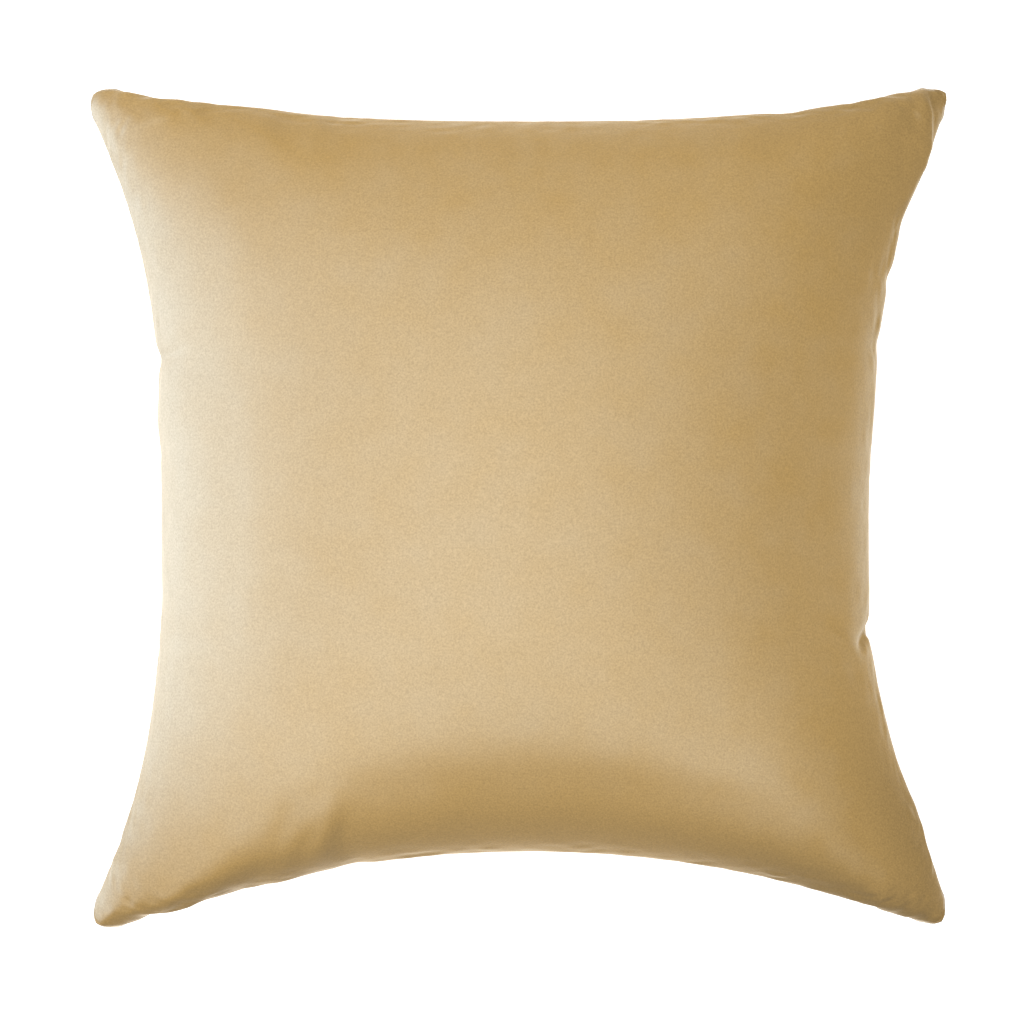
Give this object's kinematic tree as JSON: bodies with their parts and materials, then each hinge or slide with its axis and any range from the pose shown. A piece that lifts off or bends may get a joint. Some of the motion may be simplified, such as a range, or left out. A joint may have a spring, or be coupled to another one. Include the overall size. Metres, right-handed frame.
{
  "type": "throw pillow",
  "caption": "Square knife-edge throw pillow: a two-panel velvet cover with a coil zip in its bottom seam, round a fibre-filled cotton insert.",
  "frame": {"origin": "centre of the pillow's plan, on the floor under its flattened back", "axes": "+Z from the floor through the back panel to the front panel, +Y towards the top edge, +X towards the right edge as seen from the front; the zip is in the -Y edge"},
  "size_m": [0.4989, 0.4915, 0.178],
  "materials": {
    "velvet": "matte",
    "cotton": "matte",
    "fibre": "matte",
    "zip_cloth": "matte",
    "zip_nylon": "satin",
    "zip_metal": "satin",
    "label_satin": "satin"
  },
  "bodies": {
    "pillow": {"cover_front_panel": "velvet", "cover_back_panel": "velvet", "insert_front_panel": "cotton", "insert_back_panel": "cotton", "insert_fill": "fibre", "zip_tape_upper": "zip_cloth", "zip_tape_lower": "zip_cloth", "zip_coil_upper": "zip_nylon", "zip_coil_lower": "zip_nylon", "zip_top_stop_upper": "zip_metal", "zip_top_stop_lower": "zip_metal", "zip_bottom_stop": "zip_metal", "cover_care_label": "label_satin", "insert_care_label": "label_satin"},
    "slider": {"zip_slider": "zip_metal"},
    "pull_tab": {"zip_pull_tab": "zip_metal"}
  },
  "joints": [
    {"name": "zip_slide", "type": "hinge", "parent": "pillow", "child": "slider", "pos_m": [0, -0.84718, 0.083], "axis": [0, 0, -1], "range_deg": [0, 31.6]},
    {"name": "tab_swing", "type": "hinge", "parent": "slider", "child": "pull_tab", "pos_m": [-0.17703, -0.22187, 0.083], "axis": [0, 0, -1], "range_deg": [0, 170]}
  ]
}
